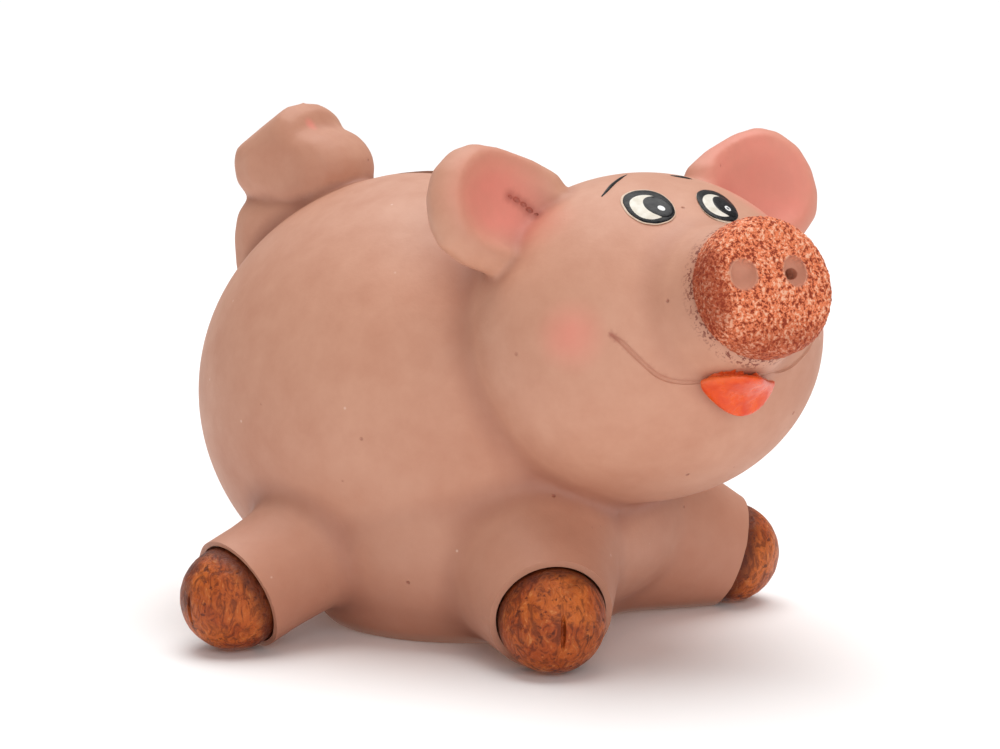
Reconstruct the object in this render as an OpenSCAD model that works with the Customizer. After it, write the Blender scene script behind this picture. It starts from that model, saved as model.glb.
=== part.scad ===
// Piggy bank: a hollow clay pig that lies on its belly, with a coin slot in its back
// and a soft stopper in its belly. It faces -Y, and its feet and belly rest on Z = 0.

/* [Body] */
// Diameter of the barrel-shaped body
body_d = 82; // [72:1:98]
// Length of the body from rump to chest
body_l = 92; // [84:1:112]
// How much of the barrel's underside is flattened away
belly_cut = 1.5; // [0.5:0.25:4]
// Thickness of the clay wall of body and head
wall = 5; // [4:0.25:6]
// Width of the flat oval under the belly
belly_w = 42; // [40:1:46]
// Length of the flat oval under the belly
belly_l = 52; // [42:1:56]

/* [Coin slot] */
// Length of the slot along the spine
slot_l = 29; // [27:0.5:35]
// Width of the slot
slot_w = 4.6; // [3.5:0.1:6]
// Distance of the slot's middle in front of the middle of the body
slot_ahead = 6.5; // [2:0.5:9]

/* [Stopper] */
// Diameter of the hole in the belly
hole_d = 27.6; // [22:0.2:28.4]
// Width of the ledge that the stopper's flange seats on
ledge = 2.7; // [2:0.1:3.2]
// Depth of the recess for the flange
recess_deep = 2.2; // [1.8:0.1:2.8]
// Thickness of the stopper's flange
flange_t = 1.6; // [1:0.1:1.7]
// Height of the stopper above its flange
plug_h = 8; // [6:0.5:10]
// Wall of the stopper's cup
cup_wall = 1.8; // [1.2:0.1:2.4]
// Thickness of the grip across the cup
grip_t = 2.4; // [1.6:0.1:3]
// Gap all round between the stopper and its hole
plug_gap = 0.06; // [0.02:0.01:0.1]
// Gap all round between the flange and its recess
flange_gap = 0.5; // [0.3:0.1:0.8]

/* [Head] */
// Width of the head across the cheeks
head_w = 66; // [60:1:76]
// Diameter of the head from chin to crown
head_d = 58; // [52:1:62]
// Height of the middle of the head above the table
head_z = 54; // [50:1:58]
// How far the middle of the head is ahead of the middle of the body
head_ahead = 45; // [42:0.5:47]
// Sideways set of the head
head_set = -1; // [-3:0.5:3]
// Turn of the head to the pig's left
head_turn = -22; // [-30:1:30]
// How far the nose points up
head_tip = 20; // [5:1:28]

/* [Snout] */
// Diameter of the snout disc
snout_d = 23.6; // [20:0.2:28]
// Sideways set of the snout on the head
snout_side = -1; // [-3:0.5:3]
// Thickness of the snout disc
snout_t = 7.5; // [5:0.5:10]
// Distance from the middle of the head to the front of the snout
snout_reach = 43.4; // [39:0.2:46]
// Distance between the nostrils
nostril_apart = 10.8; // [7.4:0.2:12]
// Diameter of a nostril
nostril_d = 4.6; // [3:0.2:6]
// Depth of a nostril
nostril_deep = 1.8; // [1:0.1:3]
// Diameter of the vent hole through the left nostril
vent_d = 2.2; // [1:0.1:2.8]
// Width of the tongue
tongue_w = 15; // [12:0.5:17]
// Height of the tongue
tongue_h = 7.2; // [6:0.2:8]
// Thickness of the tongue
tongue_t = 2.4; // [1.6:0.1:3]

/* [Ears and tail] */
// Diameter of an ear
ear_d = 27; // [22:1:32]
// Thickness of an ear at its middle
ear_t = 10; // [8:0.5:12]
// Lean of an ear to the side
ear_lean = 35; // [20:1:45]
// Depth of the hollow in an ear
ear_hollow = 3.4; // [1:0.2:4]
// Length of the tail's curl along the spine
tail_l = 27; // [22:1:32]
// Width of the tail's curl
tail_w = 20; // [16:1:24]
// Height of the tail's tip above the pig's back
tail_rise = 11.5; // [8:0.5:17]

/* [Legs and hooves] */
// Diameter of a hoof
hoof_d = 18.6; // [15.4:0.2:22.4]
// Gap all round between a hoof and the rim of its leg
hoof_gap = 0.35; // [0.2:0.05:0.8]
// Thickness of the rim round a hoof
rim_t = 1.1; // [0.8:0.1:2]
// Depth of the hoof's seat inside the rim
seat_deep = 1.5; // [1:0.1:2.5]
// Diameter of the peg behind a hoof
peg_d = 9; // [6:0.5:11]
// Length of the peg behind a hoof
peg_l = 5; // [3:0.5:7]
// Width of the cleft in a hoof
cleft_w = 0.9; // [0.5:0.1:1.5]
// Distance between the front hooves
front_apart = 65; // [58:1:74]
// How far the front hooves are ahead of the middle of the body
front_ahead = 44; // [42:1:50]
// Sideways set of the front legs
front_set = 2.3; // [-3:0.1:3]
// Turn of the pair of front legs to the pig's left
front_turn = 3.4; // [-6:0.2:6]
// Distance between the rear hooves
rear_apart = 97; // [92:1:106]
// How far the rear hooves are behind the middle of the body
rear_behind = 9.5; // [6:0.5:14]

/* [Hidden] */
$fn = 96;

skin_colour = [0.83, 0.6, 0.51];
hoof_colour = [0.62, 0.33, 0.15];
far = 400;
eps = 0.01;

// the body is a round-ended barrel that dips below the table and is cut flat there
body_r = body_d / 2;
// places the pig so that the middle of its box is over the origin
body_y = 21.2;
body_c = [0, body_y, body_r - belly_cut];
// the barrel is always longer than it is thick
barrel_l = max(body_l, body_d + 6);
body_back = body_c[1] + barrel_l / 2;
belly_top = body_c[2] - sqrt(body_r * body_r - belly_w * belly_w / 4);

slot_y = body_c[1] - slot_ahead;
hole_r = hole_d / 2;
recess_r = hole_r + ledge;

head_r = head_d / 2;
head_c = [head_set, body_c[1] - head_ahead, head_z];
// the neck joint is a plane that leans back, part of the way from the body to the head
neck_lean = 23;
neck_share = 0.745;
neck_c = [0, body_c[1] - head_ahead * neck_share, head_c[2] - 4];

// the tail is a stem on the rump, a roll across its top and a curl that leans back over the roll
tail_top = body_d - belly_cut + tail_rise;
tail_y = body_back - 16;
tail_stem = [9, 10.5, 14];
tail_stem_c = [0, tail_y + 4, tail_top - 25];
tail_roll = [tail_w / 2, tail_l / 2, 8];
tail_roll_c = [0, tail_y, tail_top - 14];
tail_curl = [6, 9, 5.6];
tail_curl_c = [0, tail_y + 3.5, tail_top - 6.8];
tail_curl_lean = -35;

// the muzzle runs from inside the head to the back of the snout disc
muzzle_flare = 3.4;
muzzle_root_r = snout_d / 2 + muzzle_flare;
muzzle_front = snout_reach - snout_t;
snout_drop = 0.5;
tongue_tilt = 33;
tongue_r = (tongue_w * tongue_w / 4 + tongue_h * tongue_h) / (2 * tongue_h);
tongue_ahead = head_r * cos(tongue_tilt);
tongue_drop = head_r * sin(tongue_tilt);

// the ear's faces are spheres that meet at its rim
lens_r = (ear_d * ear_d + ear_t * ear_t) / (4 * ear_t);
hollow_r = 0.6 * ear_d;
ear_side = head_w / 2 - 6;
ear_ahead = 1;
ear_up = head_r - 4.5;

hoof_r = hoof_d / 2;
hoof_sunk = 0.35;
hoof_lift = hoof_r - hoof_sunk;
cleft_start = hoof_r * 0.72;
rim_in_r = hoof_r + hoof_gap;
rim_out_r = rim_in_r + rim_t;
leg_flare = 2.2;
leg_root_r = rim_out_r + leg_flare;
leg_l = 27;
rim_back = 1;
seat_back = rim_back + seat_deep;
front_heading = -43;
front_tilt = 18;
rear_heading = 16;
rear_tilt = 32;
front_hoof = [front_apart / 2, body_c[1] - front_ahead, hoof_lift];
rear_hoof = [rear_apart / 2, body_c[1] + rear_behind, hoof_lift];
// where a pair of legs stands: its left hoof, the legs' heading and tilt, and the pair's set and turn
front_pair = [front_hoof, front_heading, front_tilt, front_set, front_turn];
rear_pair = [rear_hoof, rear_heading, rear_tilt, 0, 0];

module ellipsoid(r) {
    scale(r) rotate([90, 0, 0]) sphere(r = 1);
}

// a ball in the head's frame whose poles lie along Y, however the head is turned
module level_ball(d) {
    rotate([head_tip, 0, 0]) rotate([0, 0, -head_turn]) rotate([-90, 0, 0]) sphere(d = d);
}

// a barrel with round ends, from two balls and the cylinder between them: the body's runs
// along Y and the head's along X
module body_barrel(d, l) {
    for (end = [-1, 1])
        translate([0, end * (l - d) / 2, 0]) sphere(d = d);
    rotate([90, 0, 0]) cylinder(h = l - d, d = d, center = true);
}

module head_barrel(d, w) {
    for (side = [-1, 1])
        translate([side * (w - d) / 2, 0, 0]) level_ball(d);
    rotate([0, 90, 0]) cylinder(h = w - d, d = d, center = true);
}

module above_table() {
    translate([-far / 2, -far / 2, 0]) cube([far, far, far]);
}

module body_solid() {
    intersection() {
        union() {
            translate(body_c) body_barrel(body_d, barrel_l);
            translate([0, body_c[1], 0])
                scale([belly_w / belly_l, 1, 1]) cylinder(h = belly_top, d = belly_l);
        }
        above_table();
    }
}

module body_cavity() {
    translate(body_c) body_barrel(body_d - 2 * wall, barrel_l - 2 * wall);
}

// everything on the head's side of the neck joint
module ahead_of_neck() {
    translate(neck_c) rotate([-neck_lean, 0, 0])
        translate([-far / 2, -far, -far / 2]) cube([far, far, far]);
}

// the head's own frame: -Y is the way the nose points
module on_head() {
    translate(head_c) rotate([-head_tip, 0, head_turn]) children();
}

module head_solid() {
    on_head() union() {
        head_barrel(head_d, head_w);
        translate([snout_side, 0, -snout_drop]) rotate([90, 0, 0])
            cylinder(h = muzzle_front, r1 = muzzle_root_r, r2 = snout_d / 2);
    }
}

module vent() {
    translate([snout_side + nostril_apart / 2, -snout_reach - eps, 0]) rotate([-90, 0, 0])
        cylinder(h = snout_reach, d = vent_d);
}

// a flat half-moon of the given thickness, straight edge up, that faces out under the muzzle
module half_moon(thickness) {
    translate([0, -tongue_ahead, -tongue_drop]) rotate([90 + tongue_tilt, 0, 0])
        translate([0, 0, -tongue_t]) intersection() {
            translate([0, tongue_r - tongue_h / 2, 0]) cylinder(h = thickness, r = tongue_r);
            translate([-tongue_w, -tongue_h, -1]) cube([2 * tongue_w, 1.5 * tongue_h, thickness + 2]);
        }
}

// side is -1 for the pig's right and 1 for its left
module on_side(side) {
    mirror([side < 0 ? 1 : 0, 0, 0]) children();
}

// a leg's own frame: +Z runs out along the leg through the middle of its hoof, +X is down
module on_leg(pair, side) {
    place = pair[0];
    translate([pair[3], place[1], 0]) rotate([0, 0, pair[4]]) on_side(side)
        translate([place[0], 0, place[2]]) rotate([0, 90 + pair[2], pair[1]]) children();
}

module leg_blank() {
    difference() {
        translate([0, 0, -leg_l]) cylinder(h = leg_l - rim_back, r1 = leg_root_r, r2 = rim_out_r);
        translate([0, 0, -seat_back]) cylinder(h = seat_deep + 1, r = rim_in_r);
        translate([0, 0, -seat_back - peg_l]) cylinder(h = peg_l + 1, d = peg_d);
    }
}

module hoof_blank() {
    difference() {
        union() {
            intersection() {
                sphere(r = hoof_r);
                translate([0, 0, -seat_back]) cylinder(h = 3 * hoof_r, r = 2 * hoof_r);
            }
            translate([0, 0, -seat_back - peg_l]) cylinder(h = peg_l + 1, d = peg_d);
        }
        translate([-far / 2, -cleft_w / 2, cleft_start]) cube([far, cleft_w, far]);
    }
}

module leg(pair, side) {
    color(skin_colour) difference() {
        intersection() {
            on_leg(pair, side) leg_blank();
            above_table();
        }
        body_solid();
    }
}

module hoof(pair, side) {
    color(hoof_colour) intersection() {
        on_leg(pair, side) hoof_blank();
        above_table();
    }
}

// a round lens with a hollow in its front
module ear_bowl() {
    difference() {
        intersection_for(face = [-1, 1])
            translate([0, face * (lens_r - ear_t / 2), 0]) sphere(r = lens_r);
        translate([0, -ear_t / 2 + ear_hollow - hollow_r, 0]) sphere(r = hollow_r);
    }
}

module ear(side) {
    color([0.86, 0.58, 0.52]) difference() {
        on_head() on_side(side) translate([ear_side, -ear_ahead, ear_up]) rotate([0, ear_lean, 0])
            ear_bowl();
        head_solid();
        difference() {
            body_solid();
            ahead_of_neck();
        }
    }
}

module body_shell() {
    color(skin_colour) difference() {
        body_solid();
        body_cavity();
        ahead_of_neck();
        translate([-slot_w / 2, slot_y - slot_l / 2, body_c[2]]) cube([slot_w, slot_l, far]);
        translate([0, body_c[1], -eps]) cylinder(h = body_c[2], r = hole_r);
        translate([0, body_c[1], -eps]) cylinder(h = recess_deep + eps, r = recess_r);
    }
}

module head_shell() {
    color(skin_colour) difference() {
        intersection() {
            head_solid();
            ahead_of_neck();
        }
        on_head() {
            head_barrel(head_d - 2 * wall, head_w - 2 * wall);
            vent();
            half_moon(tongue_t + 3);
        }
    }
}

module snout() {
    color([0.72, 0.36, 0.25]) on_head() difference() {
        translate([snout_side, -muzzle_front, -snout_drop]) rotate([90, 0, 0])
            cylinder(h = snout_t, d = snout_d);
        for (side = [-1, 1])
            translate([snout_side + side * nostril_apart / 2, -snout_reach + nostril_deep, 0]) rotate([90, 0, 0])
                cylinder(h = far, d = nostril_d);
        vent();
    }
}

module tongue() {
    color([0.86, 0.3, 0.14]) on_head() half_moon(tongue_t);
}

module tail() {
    color(skin_colour) difference() {
        union() {
            translate(tail_roll_c) ellipsoid(tail_roll);
            translate(tail_curl_c) rotate([tail_curl_lean, 0, 0]) ellipsoid(tail_curl);
            translate(tail_stem_c) ellipsoid(tail_stem);
        }
        body_solid();
    }
}

module stopper() {
    plug_r = hole_r - plug_gap;
    cup_r = plug_r - cup_wall;
    flange_z = recess_deep - plug_gap - flange_t;
    lead_in = 1;
    grip_set_back = 0.4;
    top = flange_z + flange_t + plug_h;
    color([0.85, 0.83, 0.78]) translate([0, body_c[1], 0]) union() {
        difference() {
            union() {
                translate([0, 0, flange_z]) cylinder(h = flange_t, r = recess_r - flange_gap);
                translate([0, 0, flange_z]) cylinder(h = top - flange_z - lead_in, r = plug_r);
                translate([0, 0, top - lead_in]) cylinder(h = lead_in, r1 = plug_r, r2 = plug_r - lead_in);
            }
            translate([0, 0, -1]) cylinder(h = top + 1 - cup_wall, r = cup_r);
        }
        translate([-cup_r - eps, -grip_t / 2, flange_z + grip_set_back])
            cube([2 * (cup_r + eps), grip_t, top - flange_z - grip_set_back - cup_wall / 2]);
    }
}

body_shell();
head_shell();
snout();
tongue();
ear(-1);  // ear_right
ear(1);  // ear_left
tail();
leg(front_pair, -1);  // leg_front_right
leg(front_pair, 1);  // leg_front_left
leg(rear_pair, -1);  // leg_rear_right
leg(rear_pair, 1);  // leg_rear_left
hoof(front_pair, -1);  // hoof_front_right
hoof(front_pair, 1);  // hoof_front_left
hoof(rear_pair, -1);  // hoof_rear_right
hoof(rear_pair, 1);  // hoof_rear_left
stopper();
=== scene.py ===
import math

import bpy
import numpy as np
from mathutils import Matrix, Vector, kdtree


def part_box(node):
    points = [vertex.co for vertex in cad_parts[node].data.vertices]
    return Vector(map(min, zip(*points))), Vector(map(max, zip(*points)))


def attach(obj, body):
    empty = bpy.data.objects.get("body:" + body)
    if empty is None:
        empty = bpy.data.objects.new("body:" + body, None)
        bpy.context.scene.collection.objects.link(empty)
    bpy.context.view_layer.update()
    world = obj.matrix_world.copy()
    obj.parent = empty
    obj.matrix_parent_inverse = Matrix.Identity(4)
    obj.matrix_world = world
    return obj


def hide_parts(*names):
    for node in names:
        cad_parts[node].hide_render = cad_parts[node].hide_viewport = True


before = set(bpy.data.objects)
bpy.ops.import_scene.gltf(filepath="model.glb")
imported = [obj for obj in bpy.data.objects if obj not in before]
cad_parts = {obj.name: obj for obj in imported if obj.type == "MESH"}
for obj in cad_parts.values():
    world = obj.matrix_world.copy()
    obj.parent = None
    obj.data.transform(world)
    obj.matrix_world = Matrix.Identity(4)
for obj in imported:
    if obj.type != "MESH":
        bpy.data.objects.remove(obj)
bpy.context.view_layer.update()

mm = 0.001


# the few things done over and over by hand: pick, place, cut, join
def only(*pieces):
    bpy.ops.object.select_all(action="DESELECT")
    for piece in pieces:
        piece.select_set(True)
    bpy.context.view_layer.objects.active = pieces[0]


def settle(name):                                   # place, turn and size go into the mesh
    piece = bpy.context.view_layer.objects.active
    piece.name = piece.data.name = name
    only(piece)
    bpy.ops.object.transform_apply(location=True, rotation=True, scale=True)
    return piece


def ball(name, at, radii, turn=(0, 0, 0), rings=32):
    bpy.ops.object.select_all(action="DESELECT")
    bpy.ops.mesh.primitive_uv_sphere_add(segments=rings * 2, ring_count=rings, radius=1,
                                         location=Vector(at) * mm, rotation=turn, scale=Vector(radii) * mm)
    return settle(name)


def rod(name, at, radius, length, turn=(0, 0, 0), sides=64, tip=None):
    bpy.ops.object.select_all(action="DESELECT")
    tip = radius if tip is None else tip
    bpy.ops.mesh.primitive_cone_add(vertices=sides, radius1=radius * mm, radius2=tip * mm, depth=length * mm,
                                    location=Vector(at) * mm, rotation=turn)
    return settle(name)


def block(name, at, size, turn=(0, 0, 0)):
    bpy.ops.object.select_all(action="DESELECT")
    bpy.ops.mesh.primitive_cube_add(size=1, location=Vector(at) * mm, rotation=turn, scale=Vector(size) * mm)
    return settle(name)


def apply(piece, kind, **values):                   # adds one modifier and applies it
    only(piece)
    bpy.ops.object.modifier_add(type=kind)
    modifier = piece.modifiers[-1]
    for key, value in values.items():
        setattr(modifier, key, value)
    bpy.ops.object.modifier_apply(modifier=modifier.name)
    return piece


def carve(piece, cutter, operation="DIFFERENCE", keep=False):
    apply(piece, "BOOLEAN", operation=operation, object=cutter, solver="MANIFOLD")
    if not keep:
        bpy.data.objects.remove(cutter)
    return piece


def copyOf(piece, name):
    only(piece)
    bpy.ops.object.duplicate()
    twin = bpy.context.view_layer.objects.active
    twin.name = twin.data.name = name
    return twin


def knead(name, lumps, voxel, rounds):              # joins lumps of clay into one smooth lump
    only(*lumps)
    bpy.ops.object.join()
    lump = settle(name)
    apply(lump, "REMESH", mode="VOXEL", voxel_size=voxel * mm)
    apply(lump, "SMOOTH", factor=0.5, iterations=rounds)
    return lump


def turned(*spins):                                 # a turn from steps such as ("Z", -43)
    turn = Matrix.Identity(3)
    for axis, degrees in spins:
        turn = turn @ Matrix.Rotation(math.radians(degrees), 3, axis)
    return turn


# camera, soft boxes and the sheet of paper that the pig stands on
view = {"azimuth": -55, "elevation": 9, "distance": 600, "target": (-3, 5.2, 45), "lens": 120}


def aim(thing, at, towards):
    thing.location = Vector(at) * mm
    thing.rotation_euler = (Vector(towards) - Vector(at)).to_track_quat("-Z", "Y").to_euler()


def setView():
    az, el = math.radians(view["azimuth"]), math.radians(view["elevation"])
    back = Vector((math.sin(az) * math.cos(el), -math.cos(az) * math.cos(el), math.sin(el)))
    bpy.ops.object.camera_add()
    camera = bpy.context.view_layer.objects.active
    camera.name = "shopCamera"
    aim(camera, Vector(view["target"]) + back * view["distance"], view["target"])
    camera.data.lens = view["lens"]
    camera.data.sensor_width = 36
    camera.data.clip_start, camera.data.clip_end = 0.05, 20
    bpy.context.scene.camera = camera


setView()
lamps = {
    "overheadSky": {"kind": "SUN", "at": (180, 60, 900), "spread": 56, "power": 2.45},
    "frontSoftBox": {"kind": "AREA", "at": (-600, -700, 400), "spread": 0.7, "power": 3.1},
    "rearSoftBox": {"kind": "AREA", "at": (300, 520, 560), "spread": 0.5, "power": 0.8},
}
for name, lamp in lamps.items():
    bpy.ops.object.light_add(type=lamp["kind"])
    light = bpy.context.view_layer.objects.active
    light.name, light.data.energy = name, lamp["power"]
    if lamp["kind"] == "SUN":
        light.data.angle = math.radians(lamp["spread"])
    else:
        light.data.shape, light.data.size = "SQUARE", lamp["spread"]
    aim(light, lamp["at"], (0, 0, 40))
world = bpy.data.worlds.new("paleRoom")
bpy.context.scene.world = world
world.use_nodes = True
room = world.node_tree                            # the room lights softly, the backdrop itself is plain white
ambient = room.nodes["Background"]
ambient.inputs["Color"].default_value = (1, 1, 1, 1)
ambient.inputs["Strength"].default_value = 0.34
backdrop = room.nodes.new("ShaderNodeBackground")
backdrop.inputs["Color"].default_value = (1, 1, 1, 1)
backdrop.inputs["Strength"].default_value = 1.2
either = room.nodes.new("ShaderNodeMixShader")
room.links.new(room.nodes.new("ShaderNodeLightPath").outputs["Is Camera Ray"], either.inputs[0])
room.links.new(ambient.outputs[0], either.inputs[1])
room.links.new(backdrop.outputs[0], either.inputs[2])
room.links.new(either.outputs[0], room.nodes["World Output"].inputs[0])
bpy.context.scene.view_settings.view_transform = "Standard"

bpy.ops.object.select_all(action="DESELECT")
bpy.ops.mesh.primitive_plane_add(size=6, location=(0, 0, -0.0002))
floor = settle("floor")
paper = bpy.data.materials.new("whitePaper")        # seen from below the sheet is clear
paper.use_nodes = True
tree = paper.node_tree
sheet = tree.nodes["Principled BSDF"]
sheet.inputs["Base Color"].default_value = (0.975, 0.965, 0.96, 1)
sheet.inputs["Roughness"].default_value = 0.7
sheet.inputs["Specular IOR Level"].default_value = 0.2
clear, either = tree.nodes.new("ShaderNodeBsdfTransparent"), tree.nodes.new("ShaderNodeMixShader")
touching, seeThrough = tree.nodes.new("ShaderNodeMath"), tree.nodes.new("ShaderNodeMath")
touching.operation, touching.inputs[1].default_value = "LESS_THAN", 0.002
seeThrough.operation = "MAXIMUM"
tree.links.new(tree.nodes.new("ShaderNodeLightPath").outputs["Ray Length"], touching.inputs[0])
tree.links.new(touching.outputs[0], seeThrough.inputs[0])
tree.links.new(tree.nodes.new("ShaderNodeNewGeometry").outputs["Backfacing"], seeThrough.inputs[1])
tree.links.new(seeThrough.outputs[0], either.inputs[0])
tree.links.new(sheet.outputs[0], either.inputs[1])
tree.links.new(clear.outputs[0], either.inputs[2])
tree.links.new(either.outputs[0], tree.nodes["Material Output"].inputs["Surface"])
floor.data.materials.append(paper)
print("stage: camera, lights and floor set")

# where the head sits: turned to the right and tipped up about its own middle
skull = {"turn": -22, "tip": -20, "behindLip": 21.9}
headLow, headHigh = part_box("head_shell")
headCentre = Vector(((headLow.x + headHigh.x) / 2, headHigh.y - skull["behindLip"] * mm,
                     (headLow.z + headHigh.z) / 2)) / mm
headTurn = turned(("Z", skull["turn"]), ("X", skull["tip"]))


def onHead(x, y, z):
    return headCentre + headTurn @ Vector((x, y, z))


def headSpin(*spins):
    return (headTurn @ turned(*spins)).to_euler()


# belly, face and leg roots, kneaded into one soft lump
kneading = {"first": (0.9, 45), "second": (0.62, 15)}      # grain in mm, rounds of smoothing
belly = {"at": (0, 21.2, 39.6), "radii": (41, 46, 41), "padAt": (0, 14, 5), "padRadii": (29.5, 29, 12),
         "flankAt": (8, 12, 20), "flankRadii": (28, 33, 24),
         "chestAt": (2, -8, 17.5), "chestRadii": (26, 17, 14.5)}
face = {"radii": (33.5, 29, 29), "muzzleAt": (-1, -27, -0.5), "muzzleRoot": 16, "muzzleTip": 11.8,
        "muzzleLong": 18}
sleeve = {"rim": 10.5, "length": 27, "rimBack": 1.5, "hoof": 9.3, "gap": 0.4, "sunk": 0.35}
legs = {
    "front_right": {"heading": -44, "tilt": 18, "root": 18.5},
    "front_left": {"heading": 50, "tilt": 18, "root": 18.5},
    "rear_right": {"heading": -106, "tilt": 22, "root": 11.8},
    "rear_left": {"heading": 106, "tilt": 22, "root": 11.8},
}
for name, leg in legs.items():                      # each leg points out through the middle of its hoof
    low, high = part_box("hoof_" + name)
    out = -1 if "right" in name else 1
    leg["turn"] = turned(("Z", leg["heading"]), ("X", 90 + leg["tilt"]))
    leg["out"] = leg["turn"] @ Vector((0, 0, 1))
    leg["seat"] = Vector(((low.x if out < 0 else high.x) / mm - out * sleeve["hoof"],
                          low.y / mm + sleeve["hoof"] if "front" in name else (low.y + high.y) / 2 / mm,
                          sleeve["hoof"] - sleeve["sunk"]))


def onLeg(leg, along):
    return leg["seat"] + leg["out"] * along


lumps = [
    ball("bellyBall", belly["at"], belly["radii"]),
    ball("bellyPad", belly["padAt"], belly["padRadii"]),
    ball("chest", belly["chestAt"], belly["chestRadii"]),
    ball("faceBall", onHead(0, 0, 0), face["radii"], headSpin()),
    rod("muzzle", onHead(*face["muzzleAt"]), face["muzzleRoot"], face["muzzleLong"], headSpin(("X", 90)),
        tip=face["muzzleTip"]),
]
for side in (-1, 1):
    x, y, z = belly["flankAt"]
    lumps.append(ball("flank", (side * x, y, z), belly["flankRadii"]))
for name, leg in legs.items():
    lumps.append(rod("root_" + name, onLeg(leg, 1 - sleeve["length"] / 2), leg["root"], sleeve["length"],
                     leg["turn"].to_euler(), tip=sleeve["rim"] - 0.4))
clay = knead("clay", lumps, *kneading["first"])


# ears, tail and sleeves, pressed on and smoothed lightly
def pillow(name, outline, layers, at, turn):        # a flat outline thickened in rounded layers
    bpy.ops.object.select_all(action="DESELECT")
    bpy.ops.mesh.primitive_circle_add(vertices=len(outline), radius=mm, fill_type="NGON")
    piece = bpy.context.view_layer.objects.active
    mid = Vector((sum(u for u, v in outline), sum(v for u, v in outline))) / len(outline)
    height, share = layers[0]
    for vertex, (u, v) in zip(piece.data.vertices, outline):
        vertex.co = Vector((mid.x + (u - mid.x) * share, mid.y + (v - mid.y) * share, height)) * mm
    bpy.ops.object.mode_set(mode="EDIT")
    bpy.ops.mesh.select_all(action="SELECT")
    for nextHeight, nextShare in layers[1:]:
        bpy.ops.mesh.extrude_region_move(TRANSFORM_OT_translate={"value": (0, 0, (nextHeight - height) * mm)})
        bpy.ops.transform.resize(value=(nextShare / share, nextShare / share, 1),
                                 center_override=(mid.x * mm, mid.y * mm, nextHeight * mm))
        height, share = nextHeight, nextShare
    bpy.ops.mesh.select_all(action="SELECT")
    bpy.ops.mesh.normals_make_consistent(inside=False)
    bpy.ops.object.mode_set(mode="OBJECT")
    piece.matrix_world = Matrix.Translation(Vector(at) * mm) @ turn.to_4x4()
    return settle(name)


ear = {
    "outline": [(12, 25), (14, 29), (19, 32), (25.5, 34.6), (30.5, 35.6), (34.5, 34.6), (38.5, 31.5),
                (40.6, 27), (41, 22), (39.8, 18), (36, 14.6), (30, 12), (22, 14)],
    "layers": [(-8, 0.72), (-6.6, 0.9), (-4.6, 1), (-2.4, 0.97), (0, 0.82), (2, 0.55)],
    "bowlAt": (26.6, -13.0, 24.4), "bowlRadii": (13.4, 8.1, 12.4),
}
extras = []
for side in (-1, 1):
    outline = [(side * u, v) for u, v in ear["outline"]]
    lobe = pillow("lobe", outline, [(-h, s) for h, s in ear["layers"]], onHead(0, 0, 0),
                  headTurn @ turned(("X", 90)))
    x, y, z = ear["bowlAt"]
    carve(lobe, ball("bowl", onHead(side * x, y, z), ear["bowlRadii"], headSpin(("Y", side * 20))))
    extras.append(lobe)
tail = {
    "roll": [(62.6, 73.5), (65.3, 76.0), (66.1, 80), (65.4, 83), (58.8, 87.6), (52.4, 91.9), (49.0, 90.6),
             (47.4, 87.6), (43, 86.2), (40.6, 84.4), (38.8, 82), (38.2, 79), (40, 73), (50, 70)],
    "stem": [(65.2, 58), (65.8, 66), (64.8, 71.2), (62.4, 74), (50, 76.5), (41, 76.5), (35, 74), (42, 62),
             (55, 54)],
    "layers": [(-9, 0.5), (-7.4, 0.78), (-4.5, 0.95), (0, 1), (4.5, 0.95), (7.4, 0.78), (9, 0.5)],
}
sideOn = turned(("Z", 90), ("X", 90))
for part in ("roll", "stem"):
    extras.append(pillow("tail_" + part, tail[part], tail["layers"], (0, 0, 0), sideOn))
for name, leg in legs.items():
    extras.append(rod("sleeve_" + name, onLeg(leg, -2), sleeve["rim"], 9, leg["turn"].to_euler()))
clay = knead("clay", [clay] + extras, *kneading["second"])
print("stage: clay kneaded,", len(clay.data.polygons), "faces")


# how deep each bit of the soft clay lies, for the darker colour in the creases: painted shade, partly a brown
# wash
def creases(piece, rounds=60):
    count = len(piece.data.vertices)
    spots = np.empty(count * 3)
    piece.data.vertices.foreach_get("co", spots)
    spots = spots.reshape(-1, 3)
    normals = np.empty(count * 3)
    piece.data.vertices.foreach_get("normal", normals)
    ends = np.empty(len(piece.data.edges) * 2, dtype=int)
    piece.data.edges.foreach_get("vertices", ends)
    a, b = ends[0::2], ends[1::2]
    degree = np.bincount(ends, minlength=count)[:, None]
    even = spots.copy()
    for _ in range(rounds):
        parts = [np.bincount(a, even[b, i], count) + np.bincount(b, even[a, i], count) for i in range(3)]
        even = np.stack(parts, 1) / degree
    depth = ((even - spots) * normals.reshape(-1, 3)).sum(1) / mm
    tree = kdtree.KDTree(count)
    for i, spot in enumerate(spots):
        tree.insert(spot, i)
    tree.balance()
    return tree, depth


creaseTree, creaseDepth = creases(clay)


def faceAt(x, z, lift=0.0):                  # a point on the face, straight behind (x, z) of the head's front
    start, way = onHead(x, -60, z) * mm, headTurn @ Vector((0, 1, 0))
    found, spot, normal, _ = clay.ray_cast(start, way)
    return (spot + normal * lift * mm) / mm


def closed(piece, gap):                           # welds points nearer than the gap, turns all faces outwards
    only(piece)
    bpy.ops.object.mode_set(mode="EDIT")
    bpy.ops.mesh.select_all(action="SELECT")
    bpy.ops.mesh.remove_doubles(threshold=gap)
    bpy.ops.mesh.normals_make_consistent(inside=False)
    bpy.ops.object.mode_set(mode="OBJECT")
    return piece


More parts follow.
